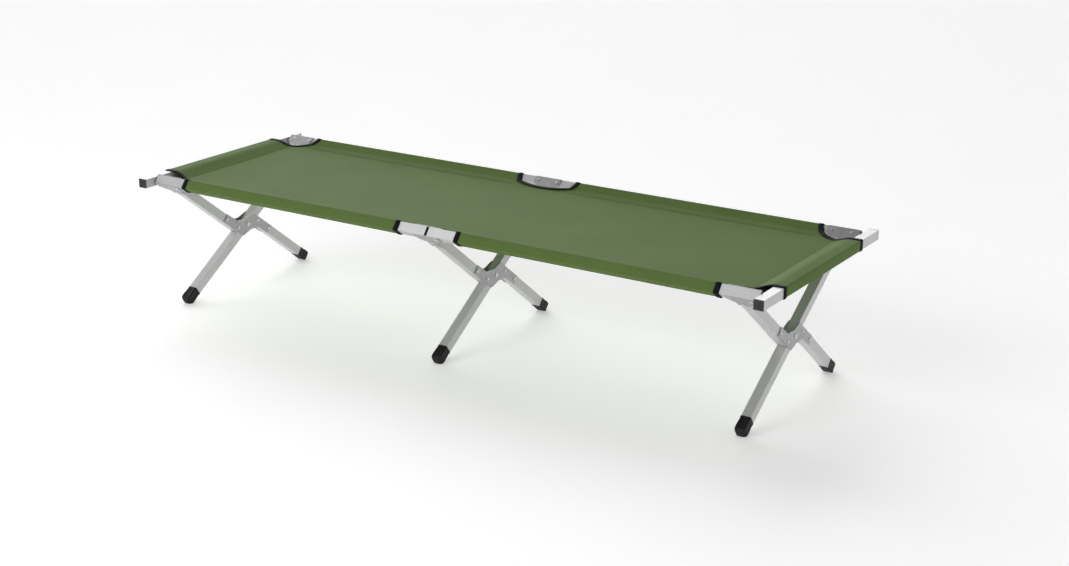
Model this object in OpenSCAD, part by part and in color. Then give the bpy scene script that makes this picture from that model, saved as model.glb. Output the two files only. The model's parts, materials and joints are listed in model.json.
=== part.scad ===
// Folding cot: two rails on three pairs of crossed legs, two pull-off end bars and a laced cover.
// The head end is at -X, the near side at -Y and the floor at z = 0.

/* [Frame] */
// Length over the two end bars
overall_length = 1900; // [1700:10:2100]
// Length of each end bar over its plugs
bar_length = 668; // [650:2:720]
// Distance between the centre lines of the rails
rail_spacing = 568; // [550:2:590]
// Height of the end bars' top faces above the floor
bed_height = 372; // [360:1:385]
// Distance of the end leg sets from the rail ends
end_leg_inset = 54; // [48:1:60]

/* [Tube] */
// Outside width of every square tube
tube = 25; // [24:0.5:26]
// Wall thickness of every square tube
wall = 1.5; // [1.2:0.1:2]
// Gap between the two halves of each rail
rail_gap = 5; // [4:0.5:8]

/* [Brackets] */
// Thickness of the steel bracket plates
plate = 2; // [1.5:0.1:2.5]
// Length of a middle bracket along its rail
mid_bracket_length = 80; // [74:1:90]
// Length of an end bracket along its rail
end_bracket_length = 85; // [80:1:90]
// Radius of a rivet's shank
rivet_r = 3; // [2.5:0.1:3.5]
// Radius of a rivet's head
rivet_head_r = 4.4; // [4:0.1:5]
// Height of a rivet's head
rivet_head_h = 1.6; // [1.2:0.1:2]

/* [Cross pivot] */
// Radius of the pivot pin
pin_r = 4; // [3.5:0.1:4.5]
// Radial running clearance of the pivot pin in the long leg
pin_clearance = 0.05; // [0.02:0.01:0.1]
// Gap between a cross plate and the long leg
plate_gap = 0.25; // [0.1:0.05:0.5]
// Gap between the long leg and the tube folded beside it
leg_gap = 1; // [0.8:0.1:2]

/* [Shoes] */
// Wall thickness of a shoe
shoe_wall = 1; // [1:0.1:2]
// Length of a shoe over its leg
shoe_length = 34; // [28:1:40]
// Thickness of a shoe below its leg
shoe_floor = 12; // [9:0.5:14]
// Chamfer round the toe of a shoe
shoe_chamfer = 7; // [5:0.5:8]

/* [Cover] */
// Thickness of the cover's panel
cloth = 1.2; // [1:0.1:1.5]
// Thickness of the sleeves' and pockets' cloth
sleeve_cloth = 0.8; // [0.6:0.1:1]
// Gap between the cover and the frame
cloth_gap = 0.3; // [0.3:0.05:0.5]
// Half length of a middle cut-out along its rail
mid_cutout = 88; // [82:1:95]
// Length of an end cut-out, from the end bar's outer face
end_cutout = 130; // [122:1:138]
// Length of each pocket along its end bar
pocket_length = 470; // [440:5:480]
// Width of the black bindings
binding = 8; // [5:0.5:10]

/* [Hidden] */
$fn = 48;
half = tube / 2;
bore = tube - 2 * wall;
bar_x = overall_length / 2 - half;
bar_inner_x = overall_length / 2 - tube;
rail_y = rail_spacing / 2;
rail_z = bed_height - half;

// Rails: the halves run from the middle gap to a plug that faces the end bar.
flange = 1.5;
rail_x0 = rail_gap / 2 + flange;
rail_x1 = bar_inner_x - 2 * flange;
plug_depth = 14;
stud_r = 4;
stud_reach = 2.2;
stud_x = rail_x1 + flange;
leg_x = bar_inner_x - end_leg_inset;

// Crossed legs: the long leg runs through the far rail's centre and the pivot.
long_tilt = 33;
reach = rail_y / cos(long_tilt);
pivot_z = rail_z - reach * sin(long_tilt);
offset_t = tube + leg_gap;
pin_head_r = rivet_head_r + 1.5;
short_tilt = long_tilt + asin(offset_t / reach);
leg_top = 20;
tube_end = 28.5;
foot_sink = 5.5;
shoe_half = half + shoe_wall;
long_foot = (rail_z - shoe_half * cos(long_tilt) + foot_sink) / sin(long_tilt) - shoe_floor;
short_foot = (pivot_z + (offset_t - shoe_half) * cos(short_tilt) + foot_sink) / sin(short_tilt) - shoe_floor;
upper_length = sqrt(reach * reach - offset_t * offset_t);

// Brackets, in the plane of a rail and its leg: u along the rail, v down the leg.
mid_rail_u = 30;
mid_leg_v = [29, 47];
mid_bracket_v = 56;
mid_bracket_w = 30;
mid_neck_v = half + 16;
end_rail_u = [-24, 30];
end_leg_v = 28;
end_bracket_v = 40;
end_bracket_w = 34;
end_neck_v = half + 14;
bracket_lip_v = half - 2;
end_bracket_u0 = rail_x1 - end_bracket_length;

// Cross plates, in the plane of the crossed legs: s down the short leg, t square to it.
cross_half = [[-100, -38], [1, -36.5], [20, -8], [47, 11], [98, 12.5]];
cross_rivet_s = [33, 91];
plate_x = half + plate_gap;

// End bars: holes for the studs, with a slot where the near stud swings out.
bar_plug = 3;
groove_x = [-8, -4, 0, 4, 8];
groove_w = 1.2;
groove_depth = 0.7;
groove_margin = 2;
keyhole_r = stud_r + 0.1;
keyhole_run = 7;
slot_half = keyhole_r + 0.2;

// Cover
sleeve_in = half + cloth_gap;
sleeve_out = sleeve_in + sleeve_cloth;
panel_rise = 2.6;
panel_inset = 19.6;
panel_top = rail_z + panel_rise;
panel_edge = rail_y - panel_inset;
ramp_run = 52;
ramp_x = bar_inner_x - ramp_run;
ramp_end = bar_inner_x - 1.6;
ramp_top = bed_height - 0.4;
mid_cut_depth = 18;
mid_cut_r = (mid_cutout * mid_cutout + mid_cut_depth * mid_cut_depth) / (2 * mid_cut_depth);
end_cut_r = 112;
end_cut_x = bar_inner_x - 10;
end_cut_depth = 38;
end_cut_y = panel_edge + end_cut_r - end_cut_depth;
binding_t = 0.8;

alu = [0.74, 0.75, 0.76];
steel = [0.55, 0.56, 0.57];
black = [0.05, 0.05, 0.055];
olive = [0.27, 0.3, 0.2];

// Local axes of a rail and its leg: X along the rail, Y down the leg, Z square to both.
module near_axes() translate([0, -rail_y, rail_z]) rotate([-short_tilt, 0, 0]) children();
module far_axes() mirror([0, 1, 0]) translate([0, -rail_y, rail_z]) rotate([-long_tilt, 0, 0]) children();

// Local axes of the short leg at the cross: X along the cot, Y down the leg, Z square to both.
module cross_axes() translate([0, 0, pivot_z]) rotate([-short_tilt, 0, 0]) children();

module square_tube_y(y0, y1) difference() {
  translate([-half, y0, -half]) cube([tube, y1 - y0, tube]);
  translate([-bore / 2, y0 - 1, -bore / 2]) cube([bore, y1 - y0 + 2, bore]);
}

module square_tube_x(x0, x1, inner, outer) difference() {
  translate([x0, -outer, -outer]) cube([x1 - x0, 2 * outer, 2 * outer]);
  translate([x0 - 1, -inner, -inner]) cube([x1 - x0 + 2, 2 * inner, 2 * inner]);
}

// A hole or rivet square to the rail, through tube and plates
module across(u, v, r, reach_n) translate([u, v, -reach_n]) cylinder(r = r, h = 2 * reach_n);

module rivet(u, v) {
  across(u, v, rivet_r, half + plate);
  for (side = [-1, 1])
    translate([u, v, side * (half + plate + rivet_head_h / 2)])
      cylinder(r = rivet_head_r, h = rivet_head_h, center = true);
}

// Rivets of the half rail on the +X side
module rail_rivet_places() {
  translate([mid_rail_u, 0, 0]) children();
  for (u = end_rail_u) translate([leg_x + u, 0, 0]) children();
}

module both_ends() for (end = [-1, 1]) scale_x(end) children();
module scale_x(end) if (end < 0) mirror([1, 0, 0]) children(); else children();

module half_rail() difference() {
  square_tube_x(rail_x0, rail_x1, bore / 2, half);
  rail_rivet_places() across(0, 0, rivet_r, half + 1);
}

module rail_plugs() both_ends() {
  plug(rail_x0, -1);
  difference() {
    plug(rail_x1, 1);
    translate([rail_x1 - plug_depth - 1, 0, 0]) rotate([0, 90, 0]) cylinder(r = stud_r, h = plug_depth + 4);
  }
}

// A plug whose flange meets the tube's end at x and points along dir
module plug(x, dir) {
  translate([dir > 0 ? x : x - flange, -half, -half]) cube([flange, tube, tube]);
  translate([dir > 0 ? x - plug_depth : x, -bore / 2, -bore / 2]) cube([plug_depth, bore, bore]);
}

module rail_studs() both_ends()
  translate([rail_x1 - plug_depth, 0, 0]) rotate([0, 90, 0])
    cylinder(r = stud_r, h = bar_inner_x + stud_reach - rail_x1 + plug_depth);

module mid_plate(side) difference() {
  translate([0, 0, side > 0 ? half : -half - plate]) linear_extrude(plate)
    polygon([[-mid_bracket_length / 2, -half], [mid_bracket_length / 2, -half],
      [mid_bracket_length / 2, bracket_lip_v], [mid_bracket_w / 2, mid_neck_v],
      [mid_bracket_w / 2, mid_bracket_v], [-mid_bracket_w / 2, mid_bracket_v],
      [-mid_bracket_w / 2, mid_neck_v], [-mid_bracket_length / 2, bracket_lip_v]]);
  for (u = [-mid_rail_u, mid_rail_u]) across(u, 0, rivet_r, half + plate + 1);
  for (v = mid_leg_v) across(0, v, rivet_r, half + plate + 1);
}

module end_plates() for (side = [0, 1]) difference() {
  translate([0, 0, side > 0 ? half : -half - plate]) linear_extrude(plate)
    polygon([[end_bracket_u0, -half], [rail_x1, -half], [rail_x1, bracket_lip_v],
      [leg_x + end_bracket_w / 2, end_neck_v], [leg_x + end_bracket_w / 2, end_bracket_v],
      [leg_x - end_bracket_w / 2, end_bracket_v], [leg_x - end_bracket_w / 2, end_neck_v],
      [end_bracket_u0, bracket_lip_v]]);
  for (u = end_rail_u) across(leg_x + u, 0, rivet_r, half + plate + 1);
  across(leg_x, end_leg_v, rivet_r, half + plate + 1);
}

module rail_rivets() both_ends() rail_rivet_places() rivet(0, 0);

module leg_pins() {
  for (v = mid_leg_v) rivet(0, v);
  both_ends() rivet(leg_x, end_leg_v);
}

// Holes at the top of a leg, for the bracket's pins
module top_holes(x) for (v = x == 0 ? mid_leg_v : [end_leg_v]) across(0, v, rivet_r, half + 1);

module long_leg(x) far_axes() translate([x, 0, 0]) difference() {
  square_tube_y(leg_top, long_foot);
  top_holes(x);
  translate([-half - 1, reach, 0]) rotate([0, 90, 0]) cylinder(r = pin_r + pin_clearance, h = tube + 2);
}

module upper_leg(x) near_axes() translate([x, 0, 0]) difference() {
  square_tube_y(leg_top, upper_length - tube_end);
  top_holes(x);
  for (s = cross_rivet_s) cross_hole(upper_length - s, 0);
}

module lower_leg(x) cross_axes() translate([x, 0, 0]) difference() {
  translate([0, 0, offset_t]) square_tube_y(tube_end, short_foot);
  for (s = cross_rivet_s) cross_hole(s, offset_t);
}

module cross_hole(s, t) translate([-half - 1, s, t]) rotate([0, 90, 0]) cylinder(r = rivet_r, h = tube + 2);

// A shoe on a leg that ends at y, with a chamfered toe
module shoe(y) difference() {
  intersection() {
    translate([0, y, shoe_half]) mirror([0, 0, 1]) linear_extrude(2 * shoe_half) toe_outline();
    translate([-shoe_half, y, 0]) rotate([0, 90, 0]) linear_extrude(2 * shoe_half) toe_outline();
  }
  translate([-half, y - shoe_length - 1, -half]) cube([tube, shoe_length + 1, tube]);
}

// A shoe seen from the side, its leg ending at y = 0
module toe_outline() polygon([[-shoe_half, -shoe_length], [shoe_half, -shoe_length],
  [shoe_half, shoe_floor - shoe_chamfer], [shoe_half - shoe_chamfer, shoe_floor],
  [shoe_chamfer - shoe_half, shoe_floor], [-shoe_half, shoe_floor - shoe_chamfer]]);

// The space under the floor, where the shoes are cut off flat
module floor_cut() translate([-overall_length, -rail_spacing, -tube])
  cube([2 * overall_length, 2 * rail_spacing, tube]);

module long_shoe(x) difference() {
  far_axes() translate([x, 0, 0]) shoe(long_foot);
  floor_cut();
}

module lower_shoe(x) difference() {
  cross_axes() translate([x, 0, offset_t]) shoe(short_foot);
  floor_cut();
}

module cross_plate(x, side) cross_axes()
  translate([side > 0 ? x + plate_x : x - plate_x - plate, 0, 0]) difference() {
    rotate([90, 0, 90]) linear_extrude(plate) polygon([for (m = [1, -1]) for (p = cross_half) m * p]);
    translate([-1, 0, 0]) rotate([0, 90, 0]) cylinder(r = pin_r, h = plate + 2);
    for (m = [-1, 1]) for (s = cross_rivet_s)
      translate([-1, m * s, m * offset_t]) rotate([0, 90, 0]) cylinder(r = rivet_r, h = plate + 2);
  }

// A pin along X between the two cross plates, headed on both sides
module cross_pin(x, s, t, r, head_r) translate([x, s, t]) rotate([0, 90, 0]) {
  cylinder(r = r, h = 2 * (plate_x + plate), center = true);
  for (side = [-1, 1])
    translate([0, 0, side * (plate_x + plate + rivet_head_h / 2)])
      cylinder(r = head_r, h = rivet_head_h, center = true);
}

module cross_rivet_set() for (x = [-leg_x, 0, leg_x]) for (m = [-1, 1]) for (s = cross_rivet_s)
  cross_axes() cross_pin(x, m * s, m * offset_t, rivet_r, rivet_head_r);

// An end bar, drawn at the foot end
module end_bar() difference() {
  translate([bar_x, 0, rail_z]) square_tube_y(-bar_length / 2 + bar_plug, bar_length / 2 - bar_plug);
  for (y = [-rail_y, rail_y]) translate([bar_inner_x - 1, y, rail_z]) keyhole();
  translate([bar_inner_x - 1, -rail_y, rail_z]) rotate([-long_tilt, 0, 0]) translate([0, -slot_half, 0])
    cube([wall + 2, 2 * slot_half, keyhole_run]);
  translate([bar_inner_x - 1, -rail_y, rail_z]) rotate([-long_tilt, 0, 0]) translate([0, 0, keyhole_run])
    keyhole();
}

module keyhole() rotate([0, 90, 0]) cylinder(r = keyhole_r, h = wall + 2);

// The end bar's plugs, with upright grooves in their outer faces
module bar_plugs() for (side = [-1, 1]) {
  difference() {
    translate([bar_x - half, side > 0 ? bar_length / 2 - bar_plug : -bar_length / 2, rail_z - half])
      cube([tube, bar_plug, tube]);
    for (x = groove_x)
      translate([bar_x + x - groove_w / 2, side * bar_length / 2 - groove_depth,
          rail_z - half + groove_margin])
        cube([groove_w, 2 * groove_depth, tube - 2 * groove_margin]);
  }
  translate([bar_x - bore / 2, side > 0 ? bar_length / 2 - bar_plug - plug_depth : -bar_length / 2 + bar_plug,
      rail_z - bore / 2])
    cube([bore, plug_depth, bore]);
}

// The panel's profile along the cot, extruded across it; lift raises it for the bindings
module panel_slab(lift, t) translate([0, panel_edge, 0]) rotate([90, 0, 0]) linear_extrude(2 * panel_edge)
  polygon([[-ramp_end, ramp_top + lift - t], [-ramp_x, panel_top + lift - t], [ramp_x, panel_top + lift - t],
    [ramp_end, ramp_top + lift - t], [ramp_end, ramp_top + lift], [ramp_x, panel_top + lift],
    [-ramp_x, panel_top + lift], [-ramp_end, ramp_top + lift]]);

// The rounds that the six cut-outs follow, widened by extra
module cutouts(extra) for (side = [-1, 1]) {
  translate([0, side * (panel_edge - mid_cut_depth + mid_cut_r), bed_height - tube])
    cylinder(r = mid_cut_r + extra, h = 2 * tube);
  for (end = [-1, 1]) translate([end * end_cut_x, side * end_cut_y, bed_height - tube])
    cylinder(r = end_cut_r + extra, h = 2 * tube);
}

module sleeve(end) scale_x(end)
  square_tube_x(mid_cutout, overall_length / 2 - end_cutout, sleeve_in, sleeve_out);

module pocket() translate([bar_x, -pocket_length / 2, rail_z]) difference() {
  translate([-sleeve_out, 0, -sleeve_out]) cube([2 * sleeve_out, pocket_length, 2 * sleeve_out]);
  translate([-sleeve_in, -1, -sleeve_in]) cube([2 * sleeve_in, pocket_length + 2, 2 * sleeve_in]);
}

module far_rail_head() color(alu) far_axes() scale_x(-1) half_rail();
module far_rail_foot() color(alu) far_axes() half_rail();
module far_rail_plugs() color(black) far_axes() rail_plugs();
module far_rail_studs() color(steel) far_axes() rail_studs();
module far_mid_bracket_upper() color(steel) far_axes() mid_plate(1);
module far_mid_bracket_lower() color(steel) far_axes() mid_plate(-1);
module far_end_bracket_head() color(steel) far_axes() scale_x(-1) end_plates();
module far_end_bracket_foot() color(steel) far_axes() end_plates();
module far_rail_rivets() color(steel) far_axes() rail_rivets();
module far_leg_pins() color(steel) far_axes() leg_pins();
module long_leg_head() color(alu) long_leg(-leg_x);
module long_leg_mid() color(alu) long_leg(0);
module long_leg_foot() color(alu) long_leg(leg_x);
module long_shoe_head() color(black) long_shoe(-leg_x);
module long_shoe_mid() color(black) long_shoe(0);
module long_shoe_foot() color(black) long_shoe(leg_x);
module near_rail_head() color(alu) near_axes() scale_x(-1) half_rail();
module near_rail_foot() color(alu) near_axes() half_rail();
module near_rail_plugs() color(black) near_axes() rail_plugs();
module near_rail_studs() color(steel) near_axes() rail_studs();
module near_mid_bracket_upper() color(steel) near_axes() mid_plate(1);
module near_mid_bracket_lower() color(steel) near_axes() mid_plate(-1);
module near_end_bracket_head() color(steel) near_axes() scale_x(-1) end_plates();
module near_end_bracket_foot() color(steel) near_axes() end_plates();
module near_rail_rivets() color(steel) near_axes() rail_rivets();
module near_leg_pins() color(steel) near_axes() leg_pins();
module upper_leg_head() color(alu) upper_leg(-leg_x);
module upper_leg_mid() color(alu) upper_leg(0);
module upper_leg_foot() color(alu) upper_leg(leg_x);
module lower_leg_head() color(alu) lower_leg(-leg_x);
module lower_leg_mid() color(alu) lower_leg(0);
module lower_leg_foot() color(alu) lower_leg(leg_x);
module lower_shoe_head() color(black) lower_shoe(-leg_x);
module lower_shoe_mid() color(black) lower_shoe(0);
module lower_shoe_foot() color(black) lower_shoe(leg_x);
module cross_plate_head_outer() color(steel) cross_plate(-leg_x, -1);
module cross_plate_head_inner() color(steel) cross_plate(-leg_x, 1);
module cross_plate_mid_head() color(steel) cross_plate(0, -1);
module cross_plate_mid_foot() color(steel) cross_plate(0, 1);
module cross_plate_foot_inner() color(steel) cross_plate(leg_x, -1);
module cross_plate_foot_outer() color(steel) cross_plate(leg_x, 1);
module cross_rivets() color(steel) cross_rivet_set();
module pivot_pins() color(steel) cross_axes() for (x = [-leg_x, 0, leg_x])
  cross_pin(x, 0, 0, pin_r, pin_head_r);
module head_end_bar() color(alu) scale_x(-1) end_bar();
module head_bar_plugs() color(black) scale_x(-1) bar_plugs();
module foot_end_bar() color(alu) end_bar();
module foot_bar_plugs() color(black) bar_plugs();
module cover_panel() color(olive) difference() {
  panel_slab(0, cloth);
  cutouts(0);
}
module far_sleeve_head() color(olive) far_axes() sleeve(-1);
module far_sleeve_foot() color(olive) far_axes() sleeve(1);
module near_sleeve_head() color(olive) near_axes() sleeve(-1);
module near_sleeve_foot() color(olive) near_axes() sleeve(1);
module head_pocket() color(olive) scale_x(-1) pocket();
module foot_pocket() color(olive) pocket();
module cover_bindings() color(black) difference() {
  intersection() {
    panel_slab(binding_t, binding_t);
    cutouts(binding);
  }
  cutouts(0);
}

far_rail_head();
far_rail_foot();
far_rail_plugs();
far_rail_studs();
far_mid_bracket_upper();
far_mid_bracket_lower();
far_end_bracket_head();
far_end_bracket_foot();
far_rail_rivets();
far_leg_pins();
long_leg_head();
long_leg_mid();
long_leg_foot();
long_shoe_head();
long_shoe_mid();
long_shoe_foot();
near_rail_head();
near_rail_foot();
near_rail_plugs();
near_rail_studs();
near_mid_bracket_upper();
near_mid_bracket_lower();
near_end_bracket_head();
near_end_bracket_foot();
near_rail_rivets();
near_leg_pins();
upper_leg_head();
upper_leg_mid();
upper_leg_foot();
lower_leg_head();
lower_leg_mid();
lower_leg_foot();
lower_shoe_head();
lower_shoe_mid();
lower_shoe_foot();
cross_plate_head_outer();
cross_plate_head_inner();
cross_plate_mid_head();
cross_plate_mid_foot();
cross_plate_foot_inner();
cross_plate_foot_outer();
cross_rivets();
pivot_pins();
head_end_bar();
head_bar_plugs();
foot_end_bar();
foot_bar_plugs();
cover_panel();
far_sleeve_head();
far_sleeve_foot();
near_sleeve_head();
near_sleeve_foot();
head_pocket();
foot_pocket();
cover_bindings();
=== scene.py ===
"""Looks of the folding cot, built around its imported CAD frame. All lengths are in metres."""
import json
import math

import bmesh
import bpy
import numpy as np
from mathutils import Matrix, Vector


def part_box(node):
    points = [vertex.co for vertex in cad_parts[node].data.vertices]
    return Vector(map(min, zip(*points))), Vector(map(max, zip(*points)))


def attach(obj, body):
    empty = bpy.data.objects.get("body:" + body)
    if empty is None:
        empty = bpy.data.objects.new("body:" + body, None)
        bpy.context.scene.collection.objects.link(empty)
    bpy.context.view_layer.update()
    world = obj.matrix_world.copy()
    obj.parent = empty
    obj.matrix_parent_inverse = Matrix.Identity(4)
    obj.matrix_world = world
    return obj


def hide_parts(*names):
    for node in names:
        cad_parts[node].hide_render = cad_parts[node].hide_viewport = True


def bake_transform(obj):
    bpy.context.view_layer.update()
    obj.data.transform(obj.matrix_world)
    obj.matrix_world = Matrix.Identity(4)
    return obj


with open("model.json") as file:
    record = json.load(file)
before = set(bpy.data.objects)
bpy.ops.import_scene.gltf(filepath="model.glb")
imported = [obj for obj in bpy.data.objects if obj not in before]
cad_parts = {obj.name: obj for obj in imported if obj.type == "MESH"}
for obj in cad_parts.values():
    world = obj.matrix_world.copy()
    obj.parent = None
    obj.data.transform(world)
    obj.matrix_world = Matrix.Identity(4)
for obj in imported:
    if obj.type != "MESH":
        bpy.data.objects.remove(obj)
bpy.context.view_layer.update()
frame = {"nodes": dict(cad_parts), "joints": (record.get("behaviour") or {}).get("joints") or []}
nodes = frame["nodes"]

MM = 0.001

# Frame measures, from the CAD boxes and the main hinge
bar_lo, bar_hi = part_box("foot_end_bar")
BAR_X0, BAR_X1 = bar_lo[0], bar_hi[0]
BAR_Z0, BAR_Z1 = bar_lo[2], bar_hi[2]
TUBE = BAR_X1 - BAR_X0
HALF = TUBE / 2
sleeve_lo, sleeve_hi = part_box("near_sleeve_foot")
RAIL_Z = (BAR_Z0 + BAR_Z1) / 2
near_lo, near_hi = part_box("near_rail_foot")
RAIL_Y = -(near_lo[1] + near_hi[1]) / 2
hinge = next(j for j in frame["joints"] if j["name"] == "frame_fold")
PIVOT_Z = hinge["pos_m"][2]
# The legs' slopes. A long leg runs through its pivot. A short leg's upper tube passes OFFSET below the
# pivot and its lower tube OFFSET above it.
LEG_GAP = 1 * MM
OFFSET = TUBE + LEG_GAP
LONG_TILT = math.atan2(RAIL_Z - PIVOT_Z, RAIL_Y)
SHORT_TILT = LONG_TILT + math.asin(OFFSET / math.hypot(RAIL_Y, RAIL_Z - PIVOT_Z))
# The slope that each rail is turned to, near (-1) and far (1)
TILT = {-1: SHORT_TILT, 1: LONG_TILT}
leg_lo, leg_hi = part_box("long_leg_foot")
LEG_X = (leg_lo[0] + leg_hi[0]) / 2


# ---------------------------------------------------------------- materials
class Graph:
    """A material's node tree with short calls for nodes and links."""

    def __init__(self, name):
        self.mat = bpy.data.materials.new(name)
        self.mat.use_nodes = True
        self.tree = self.mat.node_tree
        self.shader = self.tree.nodes["Principled BSDF"]

    def add(self, kind, inputs=None, **settings):
        node = self.tree.nodes.new(kind)
        for key, value in settings.items():
            setattr(node, key, value)
        for key, value in (inputs or {}).items():
            self.put(value, node.inputs[key])
        return node

    def put(self, value, socket):
        if isinstance(value, bpy.types.NodeSocket):
            self.tree.links.new(value, socket)
        else:
            socket.default_value = value

    def set(self, **inputs):
        for key, value in inputs.items():
            self.put(value, self.shader.inputs[key.replace("_", " ")])

    def coords(self, scale=(1, 1, 1), turn=(0, 0, 0), uv=False):
        source = self.add("ShaderNodeTexCoord").outputs["UV" if uv else "Object"]
        mapping = self.add("ShaderNodeMapping", {"Vector": source, "Scale": scale, "Rotation": turn})
        return mapping.outputs["Vector"]

    def noise(self, vector, scale, detail=3.0, rough=0.5):
        inputs = {"Vector": vector, "Scale": scale, "Detail": detail, "Roughness": rough}
        return self.add("ShaderNodeTexNoise", inputs).outputs["Fac"]

    def ramp(self, fac, low, high):
        """Maps the middle half of a noise's range to low and high."""
        node = self.add("ShaderNodeMapRange", {"Value": fac, "From Min": 0.25, "From Max": 0.75})
        node.inputs["To Min"].default_value = low
        node.inputs["To Max"].default_value = high
        return node.outputs["Result"]

    def mix(self, fac, a, b):
        """Mixes two colours; a Mix node's colour sockets share their names, so they go by number."""
        node = self.add("ShaderNodeMix", data_type="RGBA")
        self.put(fac, node.inputs["Factor"])
        for value, index in ((a, 6), (b, 7)):
            self.put(value, node.inputs[index])
        return node.outputs[2]

    def math(self, operation, a, b=0.0):
        node = self.add("ShaderNodeMath", operation=operation)
        self.put(a, node.inputs[0])
        self.put(b, node.inputs[1])
        return node.outputs[0]

    def bump(self, height, strength, distance):
        inputs = {"Height": height, "Strength": strength, "Distance": distance}
        self.put(self.add("ShaderNodeBump", inputs).outputs["Normal"], self.shader.inputs["Normal"])


def rgb(r, g, b):
    return (r, g, b, 1.0)


def aluminium(name, stretch, turn, metallic):
    """Satin extruded tube: fine drawing lines along it, faint blotches and scuffs."""
    g = Graph(name)
    along = g.coords(scale=stretch, turn=turn)
    lines = g.noise(along, 900.0, 4.0, 0.6)
    blotch = g.noise(g.coords(), 22.0, 3.0)
    scuff = g.noise(g.coords(), 160.0, 2.0)
    colour = g.mix(g.ramp(lines, 0.0, 1.0), rgb(0.50, 0.50, 0.505), rgb(0.62, 0.62, 0.625))
    colour = g.mix(g.ramp(blotch, 0.0, 0.22), colour, rgb(0.45, 0.45, 0.46))
    rough = g.math("ADD", g.ramp(lines, 0.36, 0.46), g.ramp(scuff, -0.03, 0.05))
    g.set(Base_Color=colour, Metallic=metallic, Roughness=rough)
    g.bump(lines, 0.25, 0.00008)
    return g.mat


def zinc(name):
    """Zinc-plated pressed steel: soft spangle and small pressing marks."""
    g = Graph(name)
    cells = g.add("ShaderNodeTexVoronoi", {"Vector": g.coords(), "Scale": 260.0})
    cloud = g.noise(g.coords(), 60.0, 4.0, 0.6)
    colour = g.mix(g.ramp(cloud, 0.0, 1.0), rgb(0.32, 0.32, 0.33), rgb(0.44, 0.44, 0.45))
    colour = g.mix(g.math("MULTIPLY", cells.outputs["Distance"], 0.25), colour, rgb(0.50, 0.50, 0.50))
    g.set(Base_Color=colour, Metallic=0.7, Roughness=g.ramp(cloud, 0.36, 0.48))
    g.bump(cloud, 0.2, 0.0002)
    return g.mat


def bright(name):
    """Turned rivet heads and pins."""
    g = Graph(name)
    cloud = g.noise(g.coords(), 420.0, 3.0)
    colour = g.mix(g.ramp(cloud, 0.0, 1.0), rgb(0.55, 0.555, 0.56), rgb(0.78, 0.78, 0.78))
    g.set(Base_Color=colour, Metallic=0.8, Roughness=g.ramp(cloud, 0.28, 0.42))
    g.bump(cloud, 0.15, 0.0001)
    return g.mat


def plastic(name, low, high, grain):
    """Moulded black plastic: fine spark-eroded grain, dusty on its high spots."""
    g = Graph(name)
    fine = g.noise(g.coords(), grain, 3.0, 0.6)
    dust = g.noise(g.coords(), 45.0, 4.0, 0.65)
    colour = g.mix(g.ramp(dust, 0.0, 1.0), rgb(low, low, low * 1.06), rgb(high, high, high * 1.03))
    g.set(Base_Color=colour, Roughness=g.ramp(dust, 0.42, 0.60), Specular_IOR_Level=0.25)
    g.bump(fine, 0.35, 0.0002)
    return g.mat


def woven(name, deep, pale, threads, sheen):
    """Plain weave from the piece's own flat measures in its UV map, in metres."""
    g = Graph(name)
    flat = g.coords(uv=True)
    split = g.add("ShaderNodeSeparateXYZ", {"Vector": flat})
    turn = 2 * math.pi * threads
    warp = g.math("SINE", g.math("MULTIPLY", split.outputs["X"], turn))
    weft = g.math("SINE", g.math("MULTIPLY", split.outputs["Y"], turn))
    weave = g.math("MULTIPLY", warp, weft)
    slub = g.noise(g.coords(scale=(1.0, 14.0, 1.0), uv=True), 90.0, 2.0)
    slub2 = g.noise(g.coords(scale=(14.0, 1.0, 1.0), uv=True), 90.0, 2.0)
    fade = g.noise(g.coords(uv=True), 5.0, 4.0, 0.6)
    yarn = g.math("MULTIPLY_ADD", weave, 0.22)
    yarn.node.inputs[2].default_value = 0.5
    mixed = g.math("ADD", yarn, g.math("ADD", g.ramp(slub, -0.16, 0.16), g.ramp(slub2, -0.16, 0.16)))
    mixed = g.math("ADD", mixed, g.ramp(fade, -0.12, 0.12))
    clamp = g.add("ShaderNodeClamp", {"Value": mixed}).outputs["Result"]
    g.set(Base_Color=g.mix(clamp, deep, pale), Roughness=g.ramp(slub, 0.58, 0.74))
    g.set(Sheen_Weight=sheen, Sheen_Roughness=0.5, Specular_IOR_Level=0.06)
    g.bump(g.math("ADD", weave, g.ramp(slub, -0.5, 0.5)), 0.35, 0.00025)
    return g.mat


# The noise scale of the drawing lines along a tube, against 1 across it
LINE = 0.02
alu_x = aluminium("alu_rail", (LINE, 1, 1), (0, 0, 0), 0.7)
alu_y = aluminium("alu_end_bar", (1, LINE, 1), (0, 0, 0), 0.35)
alu_long = aluminium("alu_long_leg", (1, LINE, 1), (-LONG_TILT, 0, 0), 0.3)
alu_short = aluminium("alu_short_leg", (1, LINE, 1), (SHORT_TILT, 0, 0), 0.3)
steel = zinc("zinc_bracket")
rivet_metal = bright("bright_rivet")
plug_black = plastic("plug_plastic", 0.026, 0.055, 900.0)
shoe_black = plastic("shoe_rubber", 0.005, 0.014, 500.0)
green = woven("cover_weave", rgb(0.072, 0.125, 0.026), rgb(0.142, 0.215, 0.068), 620.0, 0.0)
tape = woven("binding_tape", rgb(0.003, 0.003, 0.0035), rgb(0.012, 0.012, 0.013), 500.0, 0.02)
thread = woven("thread", rgb(0.02, 0.035, 0.012), rgb(0.045, 0.075, 0.028), 1500.0, 0.02)


def dress(name, material, bevel):
    """Gives a CAD node its material and a small edge round."""
    o = nodes[name]
    o.data.materials.clear()
    o.data.materials.append(material)
    edge = o.modifiers.new("edge", "BEVEL")
    edge.width = bevel
    edge.segments = 3
    edge.limit_method = "ANGLE"
    edge.angle_limit = math.radians(40)
    edge.use_clamp_overlap = True


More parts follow.
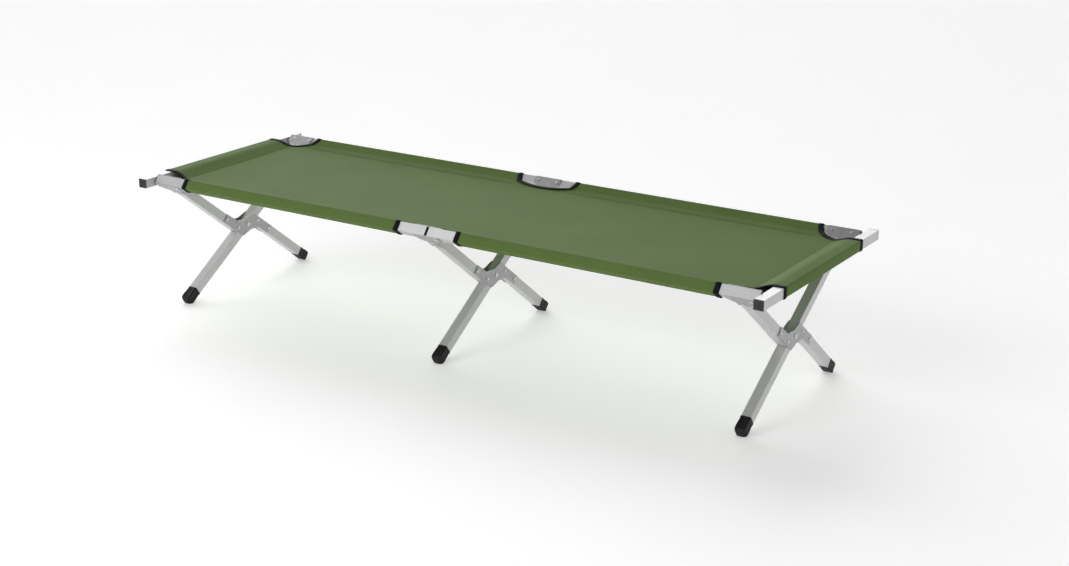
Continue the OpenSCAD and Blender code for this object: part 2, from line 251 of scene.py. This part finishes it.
# The first word found in a node's name gives its material and edge round.
LOOKS = (("plugs", plug_black, 1.2 * MM), ("bracket", steel, 0.5 * MM), ("plate", steel, 0.5 * MM),
         ("rivets", rivet_metal, 0.7 * MM), ("pins", rivet_metal, 0.7 * MM),
         ("studs", rivet_metal, 0.4 * MM), ("end_bar", alu_y, 0.8 * MM), ("rail", alu_x, 1.6 * MM),
         ("long_leg", alu_long, 1.6 * MM), ("leg", alu_short, 1.6 * MM))
REPLACED = ("cover", "sleeve", "pocket", "shoe")
for name in nodes:
    if not any(word in name for word in REPLACED):
        dress(name, *next(look[1:] for look in LOOKS if look[0] in name))


# ---------------------------------------------------------------- mesh helpers
def make(name, verts, faces, material, uvs=None, smooth=True):
    """An object made of points and faces, with one flat place per point as its UV map."""
    mesh = bpy.data.meshes.new(name)
    mesh.from_pydata([tuple(v) for v in verts], [], faces)
    if uvs is not None:
        layer = mesh.uv_layers.new(name="flat")
        for loop in mesh.loops:
            layer.data[loop.index].uv = uvs[loop.vertex_index]
    mesh.polygons.foreach_set("use_smooth", [smooth] * len(mesh.polygons))
    mesh.materials.append(material)
    mesh.update()
    o = bpy.data.objects.new(name, mesh)
    bpy.context.scene.collection.objects.link(o)
    return o


def step(t):
    """Smooth 0 to 1."""
    t = min(max(t, 0.0), 1.0)
    return t * t * (3 - 2 * t)


def rounded(corners, radius, count=5, longest=6 * MM):
    """A 2-D polyline with its inner corners rounded and its long runs cut up."""
    corners = [np.array(c, float) for c in corners]
    out = [corners[0]]
    for a, b, c in zip(corners, corners[1:], corners[2:]):
        to_a, to_c = (a - b) / np.linalg.norm(a - b), (c - b) / np.linalg.norm(c - b)
        start, end = b + to_a * radius, b + to_c * radius
        for i in range(count + 1):
            t = i / count
            out.append((1 - t) ** 2 * start + 2 * t * (1 - t) * b + t * t * end)
    out.append(corners[-1])
    dense = [out[0]]
    for a, b in zip(out, out[1:]):
        cuts = max(1, int(np.linalg.norm(b - a) / longest))
        dense.extend(a + (b - a) * (i + 1) / cuts for i in range(cuts))
    return np.array(dense)


def normals_2d(path, inside):
    """Unit normals of a 2-D path that point away from a point inside it."""
    run = np.gradient(path, axis=0)
    n = np.stack([-run[:, 1], run[:, 0]], 1)
    n /= np.linalg.norm(n, axis=1)[:, None]
    flip = np.sign(((path - inside) * n).sum(1))
    flip[flip == 0] = 1
    return n * flip[:, None]


# ---------------------------------------------------------------- cover
# Cloth thickness, how far its middle stands off a tube, and the radius of its bends
CLOTH = 0.8 * MM
SKIN = CLOTH / 2
LIFT = 0.75 * MM
WRAP_R = 2.2 * MM
# The panel: sag at the middle, the share of it left near the ends, and where it fades along x
EDGE_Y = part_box("cover_panel")[1][1]
SAG, END_SAG = 3 * MM, 0.35
FADE_X, FADE_RUN = 0.55, 0.33
RIPPLE = 0.35 * MM
# Hems: two rows of stitches in from each edge, and the panel's drop, which ends HEM_MARGIN past them
SEAM_IN = 30 * MM
ROW_GAP = 5 * MM
HEM_DROP, HEM_MARGIN = 4 * MM, 2 * MM
# Ends: the pockets' seams, the start of the rise to a bar's top, and the panel's own end
POCKET_SEAM_X = BAR_X0 - 52 * MM
RAMP_X0 = BAR_X0 - 56 * MM
PANEL_X1 = BAR_X0 - 1.5 * MM
# How far the sewn-down edges lie under the panel, and where their height is taken
HEM_UNDER, MID_SLEEVE_X = 1.3 * MM, 0.4
POCKET_UNDER, MID_POCKET_Y = 1.6 * MM, 0.1
# Cut-outs: arcs in the panel, which widen round the sleeves over CUT_RUN
MID_DEPTH = 18 * MM
CUT_NARROWING, CUT_RUN = 9 * MM, 0.9 * TUBE
SLEEVE_X0 = sleeve_lo[0] - CUT_NARROWING
MID_R = (SLEEVE_X0**2 + MID_DEPTH**2) / (2 * MID_DEPTH)
END_R = 112 * MM
END_X = BAR_X0 - 10 * MM
END_Y = EDGE_Y + 74 * MM
SLEEVE_X1 = END_X - math.sqrt(END_R**2 - (END_Y - EDGE_Y) ** 2)


def sleeve_x(x, along):
    """Where the panel's place x lands on a rail sleeve, along being the distance round the rail."""
    wide = step(along / CUT_RUN)
    low = SLEEVE_X0 + (sleeve_lo[0] - SLEEVE_X0) * wide
    high = SLEEVE_X1 + (sleeve_hi[0] - SLEEVE_X1) * wide
    return math.copysign(low + (abs(x) - SLEEVE_X0) / (SLEEVE_X1 - SLEEVE_X0) * (high - low), x)


def edge_y(x):
    """Half width of the panel at x, cut in at the middle and at the ends."""
    x = abs(x)
    if x < SLEEVE_X0:
        return EDGE_Y - MID_DEPTH + MID_R - math.sqrt(MID_R**2 - x * x)
    if x > SLEEVE_X1:
        dx = min(x, END_X) - END_X
        return END_Y - math.sqrt(END_R**2 - dx * dx)
    return EDGE_Y


def rail_point(side, v, n):
    """(y, z) of a point in a rail's own axes: v down the leg, n square to it."""
    a = TILT[side]
    y = -RAIL_Y + v * math.cos(a) + n * math.sin(a)
    return (y if side < 0 else -y, RAIL_Z - v * math.sin(a) + n * math.cos(a))


def edge_z(side):
    """Height of the panel's edge, at the rail's upper inner corner."""
    return rail_point(side, HALF + LIFT, HALF + LIFT)[1]


def panel_z(x, y):
    """Height of the panel's middle surface."""
    share = (y / EDGE_Y + 1) / 2
    flat = edge_z(-1) * (1 - share) + edge_z(1) * share
    rise = step((abs(x) - RAMP_X0) / (BAR_X0 - RAMP_X0))
    across = max(0.0, 1 - (y / EDGE_Y) ** 2)
    along = 1 - step((abs(x) - FADE_X) / FADE_RUN)
    ripple = RIPPLE * math.sin(x * 23 + 3 * y) * math.sin(y * 31 + 1.7) * across
    hem = HEM_DROP * step((EDGE_Y - abs(y)) / (SEAM_IN + HEM_MARGIN))
    sag = SAG * across * (END_SAG + (1 - END_SAG) * along)
    return flat - (hem + sag) * (1 - rise) + ripple + (BAR_Z1 + LIFT - flat) * rise


def rail_loop(side):
    """(y, z) from the panel's edge round the rail and back under the panel."""
    d = HALF + LIFT
    corners = [rail_point(side, *p) for p in ((d, d), (-d, d), (-d, -d), (d, -d))]
    seam_y = side * (EDGE_Y - SEAM_IN)
    corners[0] = (side * EDGE_Y, corners[0][1])
    return rounded(corners + [(seam_y, panel_z(MID_SLEEVE_X, seam_y) - HEM_UNDER)], WRAP_R)


def bar_loop():
    """(x, z) from the panel's end over the end bar and back under the panel."""
    corners = [(PANEL_X1, BAR_Z1 + LIFT - 0.1 * MM), (BAR_X1 + LIFT, BAR_Z1 + LIFT),
               (BAR_X1 + LIFT, BAR_Z0 - LIFT), (BAR_X0 - LIFT, BAR_Z0 - LIFT),
               (POCKET_SEAM_X, panel_z(POCKET_SEAM_X, MID_POCKET_Y) - POCKET_UNDER)]
    return rounded(corners, WRAP_R)


def stations():
    """The places along x where the panel has a row of points."""
    runs = [np.linspace(0, SLEEVE_X0, 17), np.linspace(SLEEVE_X0, SLEEVE_X1, 96),
            np.linspace(SLEEVE_X1, END_X, 26), np.linspace(END_X, PANEL_X1, 5)]
    xs = sorted(set(np.round(np.concatenate(runs), 6)))
    return [-x for x in xs[:0:-1]] + xs


XS = stations()
# How far a row may lie past a sleeve's end and still count as on it
SLACK = 0.01 * MM
# Places across the panel from -1 to 1, closer together near its edges
EDGE_ANGLE = math.pi / 2 * 0.72
ACROSS = np.sin(np.linspace(-1, 1, 57) * EDGE_ANGLE) / math.sin(EDGE_ANGLE)


def grid_faces(rows):
    """Quads between neighbouring rows of point numbers."""
    return [(a[j], b[j], b[j + 1], a[j + 1]) for a, b in zip(rows, rows[1:]) for j in range(len(a) - 1)]


def arc(path):
    """The distance along a path at each of its points."""
    return np.concatenate([[0], np.cumsum(np.linalg.norm(np.diff(path, axis=0), axis=1))])


def cover_sheet():
    """The whole cover as one sheet: panel, four rail sleeves and two bar pockets."""
    verts, uvs, faces, rows = [], [], [], []
    for x in XS:
        rows.append(range(len(verts), len(verts) + len(ACROSS)))
        for s in ACROSS:
            y = s * edge_y(x)
            verts.append((x, y, panel_z(x, y)))
            uvs.append((x, y))
    faces += grid_faces(rows)
    for side, column in ((-1, 0), (1, len(ACROSS) - 1)):
        loop = rail_loop(side)
        length = arc(loop)
        for end in (-1, 1):
            strips = []
            for row, x in zip(rows, XS):
                if SLEEVE_X0 - SLACK <= end * x <= SLEEVE_X1 + SLACK:
                    strip = [row[column]]
                    for (y, z), along in list(zip(loop, length))[1:]:
                        strip.append(len(verts))
                        verts.append((sleeve_x(x, along), y, z))
                        uvs.append((sleeve_x(x, along), side * (EDGE_Y + along)))
                    strips.append(strip)
            strips = strips if side > 0 else [s[::-1] for s in strips]
            faces += grid_faces(strips)
    loop = bar_loop()
    length = arc(loop)
    for end, row in ((-1, rows[0]), (1, rows[-1])):
        strips = [list(row)]
        for (x, z), along in list(zip(loop, length))[1:]:
            strips.append(list(range(len(verts), len(verts) + len(ACROSS))))
            for s in ACROSS:
                y = s * edge_y(BAR_X0)
                under = panel_z(POCKET_SEAM_X, y) - panel_z(POCKET_SEAM_X, MID_POCKET_Y)
                reach = step((BAR_X0 - x) / (BAR_X0 - POCKET_SEAM_X)) if z < BAR_Z1 else 0
                verts.append((end * x, y, z + under * reach))
                uvs.append((end * (BAR_X0 + along), y))
        strips = strips if end > 0 else strips[::-1]
        faces += grid_faces(strips)
    return make("cover", verts, faces, green, uvs)


def sweep(name, path, material, section):
    """Sweeps a section (inward, outward) along (point, inward, outward) frames."""
    verts, uvs, faces = [], [], []
    points = np.array([p for p, _, _ in path])
    along = arc(points)
    inward = np.array([t for _, t, _ in path], float)
    outward = np.array([n for _, _, n in path], float)
    # The frames are smoothed, so that the section turns evenly round corners.
    for _ in range(3):
        for a in (inward, outward):
            a[1:-1] = (a[:-2] + 2 * a[1:-1] + a[2:]) / 4
            a /= np.linalg.norm(a, axis=1)[:, None]
    count = len(section)
    for i, (p, t, n) in enumerate(zip(points, inward, outward)):
        n = n - t * (n @ t)
        n /= np.linalg.norm(n)
        for a, b in section:
            verts.append(p + t * a + n * b)
            uvs.append((along[i], a + 3 * b))
    for i in range(len(points) - 1):
        for j in range(count):
            k = (j + 1) % count
            faces.append((i * count + j, i * count + k, (i + 1) * count + k, (i + 1) * count + j))
    faces.append(tuple(range(count))[::-1])
    faces.append(tuple((len(points) - 1) * count + j for j in range(count)))
    o = make(name, verts, faces, material, uvs)
    bm = bmesh.new()
    bm.from_mesh(o.data)
    bmesh.ops.recalc_face_normals(bm, faces=bm.faces)
    bm.to_mesh(o.data)
    bm.free()
    return o


# How far short of the bar a binding leaves its arc, and the folded tape's section, as (inward, outward)
TAPE_SHORT = 4 * MM
TAPE_W = 12.5 * MM
TAPE = [(-2.0 * MM, -0.5 * MM), (-2.2 * MM, 0.6 * MM), (-1.4 * MM, 1.7 * MM), (1.5 * MM, 2.2 * MM),
        (7.5 * MM, 1.9 * MM), (TAPE_W - 0.8 * MM, 1.5 * MM), (TAPE_W, 0.7 * MM), (TAPE_W, -0.4 * MM),
        (TAPE_W - 0.6 * MM, -0.62 * MM), (-0.6 * MM, -0.8 * MM)]


def sleeve_end(side, x, into):
    """Frames up a sleeve's end, from under the panel to the panel's edge."""
    loop = rail_loop(side)
    out = normals_2d(loop, np.array(rail_point(side, 0, 0)))
    frames = [((sleeve_x(x, along), y, z), (into, 0, 0), (0, ny, nz))
              for (y, z), (ny, nz), along in zip(loop, out, arc(loop))]
    return frames[:1:-1]


def panel_arc(side, xs, centre):
    """Frames along a cut-out's arc in the panel, facing away from the arc's centre."""
    frames = []
    reach = 2 * MM
    for x in xs:
        y = side * edge_y(x)
        t = np.array([x - centre[0], y - centre[1], 0.0])
        t /= np.linalg.norm(t)
        slope = (panel_z(x + reach, y) - panel_z(x - reach, y)) / (2 * reach)
        t[2] = t[0] * slope
        frames.append(((x, y, panel_z(x, y)), t, (-slope, 0, 1)))
    return frames


def mid_binding(side):
    """Frames along the binding of a middle cut-out, up one sleeve, across and down the other."""
    centre = (0, side * (EDGE_Y - MID_DEPTH + MID_R))
    left = sleeve_end(side, -SLEEVE_X0, -1)
    right = sleeve_end(side, SLEEVE_X0, 1)
    return left + panel_arc(side, np.linspace(-SLEEVE_X0, SLEEVE_X0, 41), centre) + right[::-1]


def end_binding(side, end):
    """Frames along the binding of an end cut-out, up the sleeve, across and round the pocket."""
    centre = (end * END_X, side * END_Y)
    frames = sleeve_end(side, end * SLEEVE_X1, -end)
    frames += panel_arc(side, end * np.linspace(SLEEVE_X1, BAR_X0 - TAPE_SHORT, 34), centre)
    loop = bar_loop()
    out = normals_2d(loop, np.array([(BAR_X0 + BAR_X1) / 2, RAIL_Z]))
    y = side * edge_y(BAR_X0)
    frames += [((end * x, y, z), (0, -side, 0), (end * nx, 0, nz))
               for (x, z), (nx, nz) in list(zip(loop, out))[1:]]
    return frames


# Heights above the cloth of the four rings of one stitch, in thread radii
STITCH_ARCH = (-0.2, 0.75, 0.75, -0.2)


def stitches(name, lines, pitch=4.6 * MM, length=3.3 * MM, radius=0.32 * MM):
    """Rows of short thread runs; each line is (points, outward normal)."""
    verts, faces, uvs = [], [], []
    for points, n in lines:
        points = np.array(points, float)
        along = arc(points)
        n = np.array(n, float)
        for start in np.arange(pitch / 2, along[-1] - pitch, pitch):
            ring = []
            for i, lift in enumerate(STITCH_ARCH):
                s = start + length * i / (len(STITCH_ARCH) - 1)
                p = np.array([np.interp(s, along, points[:, k]) for k in range(3)])
                q = np.array([np.interp(s + 1e-4, along, points[:, k]) for k in range(3)]) - p
                q /= np.linalg.norm(q)
                w = np.cross(n, q)
                p = p + n * lift * radius
                ring.append(range(len(verts), len(verts) + 4))
                for a, b in ((1, 0), (0, 1), (-1, 0), (0, -1)):
                    verts.append(p + w * a * radius + n * b * radius)
                    uvs.append((s, 0.25 * (a + b) * radius))
            for a, b in zip(ring, ring[1:]):
                faces += [(a[j], a[(j + 1) % 4], b[(j + 1) % 4], b[j]) for j in range(4)]
            faces += [tuple(ring[0])[::-1], tuple(ring[-1])]
    return make(name, verts, faces, thread, uvs)


cover = cover_sheet()
solid = cover.modifiers.new("cloth", "SOLIDIFY")
solid.thickness = CLOTH
solid.offset = 0.0
SIDES, ENDS = ((-1, "near"), (1, "far")), ((-1, "head"), (1, "foot"))
bindings = [sweep(f"binding_mid_{word}", mid_binding(side), tape, TAPE) for side, word in SIDES]
for side, word in SIDES:
    for end, place in ENDS:
        bindings.append(sweep(f"binding_{place}_{word}", end_binding(side, end), tape, TAPE))

RAIL_ROW_END, POCKET_ROW_END = 10 * MM, 14 * MM
lines = []
for side in (-1, 1):
    for row_in in (SEAM_IN, SEAM_IN - ROW_GAP):
        y = side * (EDGE_Y - row_in)
        for end in (-1, 1):
            xs = np.linspace(SLEEVE_X0 + RAIL_ROW_END, SLEEVE_X1 - RAIL_ROW_END, 80) * end
            lines.append(([(x, y, panel_z(x, y) + SKIN) for x in xs], (0, 0, 1)))
for end in (-1, 1):
    for dx in (0, ROW_GAP):
        x = end * (POCKET_SEAM_X + dx)
        reach = edge_y(x) - POCKET_ROW_END
        slope = (panel_z(abs(x) + MM, 0) - panel_z(abs(x) - MM, 0)) / (2 * MM) * end
        ys = np.linspace(-reach, reach, 50)
        lines.append(([(x, y, panel_z(x, y) + SKIN) for y in ys], Vector((-slope, 0, 1)).normalized()))
seams = stitches("cover_stitching", lines)

for piece in [cover, seams] + bindings:
    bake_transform(piece)
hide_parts("cover_panel", "near_sleeve_head", "near_sleeve_foot", "far_sleeve_head",
            "far_sleeve_foot", "head_pocket", "foot_pocket")
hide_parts("cover_bindings")

# ---------------------------------------------------------------- shoes
SHOE_HALF = HALF + 1.3 * MM
SHOE_LENGTH = 34 * MM
SHOE_FLOOR = 12 * MM
SHOE_R = 4 * MM
# The toe is a quarter round, which narrows by TOE_SHARE of its radius.
TOE_R = 11.5 * MM
TOE_STEPS, TOE_SHARE = 8, 0.82
# In mm, how much a shoe swells at each distance past its collar, then short of the leg's end
COLLAR_SWELL = ((0, 0.2), (0.8, 0.6), (4, 0.6), (4.6, 0.0), (10, 0.1))
BODY_SWELL = ((14, 0.5), (6, 0.9), (0, 0.6))
# Two grooves down each face, as (place across the flat, share of the groove's depth)
GROOVE = 0.9 * MM
GROOVE_START, GROOVE_FADE, TOE_FADE = 6 * MM, 4 * MM, 5 * MM
GROOVES = [(-0.55, 0), (-0.42, 1), (-0.29, 1), (-0.16, 0), (0.16, 0), (0.29, 1), (0.42, 1), (0.55, 0)]


def shoe(name, node, origin, tilt, side, x, foot):
    """A moulded cap on a leg that runs down from origin for a length of foot: collar, grooves, round toe."""
    bm = bmesh.new()
    toe = foot + SHOE_FLOOR
    collar = foot - SHOE_LENGTH
    profile = [(collar + past * MM, swell) for past, swell in COLLAR_SWELL]
    profile += [(foot - short * MM, swell) for short, swell in BODY_SWELL]
    for k in range(1, TOE_STEPS + 1):
        a = math.radians(90 * k / TOE_STEPS)
        swell = BODY_SWELL[-1][1] - TOE_R / MM * (1 - math.cos(a)) * TOE_SHARE
        profile.append((toe - TOE_R * (1 - math.sin(a)), swell))
    rings = []
    for v, grow in profile:
        h = SHOE_HALF + grow * MM
        r = min(SHOE_R, h * 0.5)
        deep = GROOVE * step((v - collar - GROOVE_START) / GROOVE_FADE) * step((toe - v) / TOE_FADE)
        outline = []
        for quarter in range(4):
            a0 = math.pi / 2 * quarter
            corner = [(h - r + r * math.cos(a), h - r + r * math.sin(a))
                      for a in np.linspace(0, math.pi / 2, 5)]
            flat = [(h - deep * dip, (h - r) * place) for place, dip in GROOVES]
            outline += [(a * math.cos(a0) - b * math.sin(a0), a * math.sin(a0) + b * math.cos(a0))
                        for a, b in flat + corner]
        ring = []
        for u, n in outline:
            y = v * math.cos(tilt) + n * math.sin(tilt)
            z = -v * math.sin(tilt) + n * math.cos(tilt)
            ring.append(bm.verts.new((x + u, origin[0] + side * y, origin[1] + z)))
        rings.append(ring)
    for a, b in zip(rings, rings[1:]):
        for j in range(len(a)):
            k = (j + 1) % len(a)
            bm.faces.new((a[j], a[k], b[k], b[j]))
    bm.faces.new(rings[0][::-1])
    bm.faces.new(rings[-1])
    bmesh.ops.recalc_face_normals(bm, faces=bm.faces)
    # The toe is cut off level with the floor.
    cut = bmesh.ops.bisect_plane(bm, geom=bm.verts[:] + bm.edges[:] + bm.faces[:], plane_co=(0, 0, 0),
                                 plane_no=(0, 0, -1), clear_outer=True)
    edges = [e for e in cut["geom_cut"] if isinstance(e, bmesh.types.BMEdge)]
    if edges:
        bmesh.ops.contextual_create(bm, geom=edges)
    bmesh.ops.recalc_face_normals(bm, faces=bm.faces)
    mesh = bpy.data.meshes.new(name)
    bm.to_mesh(mesh)
    bm.free()
    for polygon in mesh.polygons:
        polygon.use_smooth = True
    mesh.materials.append(shoe_black)
    o = bpy.data.objects.new(name, mesh)
    bpy.context.scene.collection.objects.link(o)
    mesh.set_sharp_from_angle(angle=math.radians(35))
    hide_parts(node)
    return o


# Where the legs end, so that each CAD shoe's lowest corner sinks FOOT_SINK before its toe is cut level
FOOT_SINK = 5.5 * MM
CAD_SHOE_HALF = HALF + 1 * MM
long_drop = RAIL_Z - CAD_SHOE_HALF * math.cos(LONG_TILT) + FOOT_SINK
long_foot = long_drop / math.sin(LONG_TILT) - SHOE_FLOOR
short_drop = PIVOT_Z + (OFFSET - CAD_SHOE_HALF) * math.cos(SHORT_TILT) + FOOT_SINK
short_foot = short_drop / math.sin(SHORT_TILT) - SHOE_FLOOR
short_origin = (OFFSET * math.sin(SHORT_TILT), PIVOT_Z + OFFSET * math.cos(SHORT_TILT))
for word, x in (("head", -LEG_X), ("mid", 0.0), ("foot", LEG_X)):
    a = shoe(f"shoe_long_{word}", f"long_shoe_{word}", (RAIL_Y, RAIL_Z), LONG_TILT, -1, x, long_foot)
    b = shoe(f"shoe_lower_{word}", f"lower_shoe_{word}", short_origin, SHORT_TILT, 1, x, short_foot)
    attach(a, "far_frame")
    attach(b, "near_frame")

# ---------------------------------------------------------------- stage
FLOOR_HALF = 60.0
FLOOR_DROP = 0.5 * MM
floor_graph = Graph("floor_pale")
grain = floor_graph.noise(floor_graph.coords(), 3.0, 4.0)
pale = floor_graph.mix(floor_graph.ramp(grain, 0.0, 1.0), rgb(0.86, 0.86, 0.86), rgb(0.89, 0.89, 0.89))
floor_graph.set(Base_Color=pale, Roughness=0.85, Emission_Color=rgb(1.0, 1.0, 1.0),
                Emission_Strength=0.30)
corners = [(FLOOR_HALF * x, FLOOR_HALF * y, 0) for x, y in ((-1, -1), (1, -1), (1, 1), (-1, 1))]
floor = make("floor", corners, [(0, 1, 2, 3)], floor_graph.mat, smooth=False)
floor.location.z = -FLOOR_DROP

# The sky is bright at the horizon and dims overhead, as a direction's height goes from GLOW_LOW to GLOW_HIGH.
HORIZON, ZENITH = 0.84, 0.10
GLOW_LOW, GLOW_HIGH = 0.30, 0.85
world = bpy.data.worlds.new("studio")
bpy.context.scene.world = world
world.use_nodes = True
sky = world.node_tree
sky.nodes["Background"].inputs["Color"].default_value = (1.0, 1.0, 1.0, 1.0)
height = sky.nodes.new("ShaderNodeSeparateXYZ")
sky.links.new(sky.nodes.new("ShaderNodeTexCoord").outputs["Generated"], height.inputs["Vector"])
glow = sky.nodes.new("ShaderNodeMapRange")
glow.interpolation_type = "SMOOTHSTEP"
for socket, value in (("From Min", GLOW_LOW), ("From Max", GLOW_HIGH),
                      ("To Min", HORIZON), ("To Max", ZENITH)):
    glow.inputs[socket].default_value = value
sky.links.new(height.outputs["Z"], glow.inputs["Value"])
sky.links.new(glow.outputs["Result"], sky.nodes["Background"].inputs["Strength"])


def light(name, kind, aim, energy, at=(0, 0, 0)):
    """A light at one place, pointing along aim."""
    data = bpy.data.lights.new(name, kind)
    data.energy = energy
    o = bpy.data.objects.new(name, data)
    o.location = at
    o.rotation_euler = Vector(aim).to_track_quat("-Z", "Y").to_euler()
    bpy.context.scene.collection.objects.link(o)
    return data


# A wide sun from behind and to the left, and a softbox at the front left
SUN_AIM, SUN_POWER, SUN_SPREAD = (3.5, -3.0, -2.1), 2.1, math.radians(60)
FRONT_AT, FRONT_TARGET = Vector((-1.4, -3.6, 2.7)), Vector((0.2, 0, 0.25))
FRONT_POWER, FRONT_SIZE = 66, (3.4, 1.8)
light("key", "SUN", SUN_AIM, SUN_POWER).angle = SUN_SPREAD
front = light("front", "AREA", FRONT_TARGET - FRONT_AT, FRONT_POWER, FRONT_AT)
front.shape = "RECTANGLE"
front.size, front.size_y = FRONT_SIZE

# ---------------------------------------------------------------- camera
CAMERA_AT = Vector((2.5174, -3.7530, 1.6356))
CAMERA_AIM = Vector((0.1302, 0.0083, 0.1711))
CAMERA_ROLL = math.radians(0.393)
camera_data = bpy.data.cameras.new("camera")
camera_data.sensor_width = 36.0
camera_data.lens = 59.74
camera_data.clip_end = 200.0
camera = bpy.data.objects.new("camera", camera_data)
turn = (CAMERA_AIM - CAMERA_AT).to_track_quat("-Z", "Y").to_matrix() @ Matrix.Rotation(CAMERA_ROLL, 3, "Z")
camera.matrix_world = Matrix.Translation(CAMERA_AT) @ turn.to_4x4()
bpy.context.scene.collection.objects.link(camera)
bpy.context.scene.camera = camera
bpy.context.scene.view_settings.view_transform = "Standard"
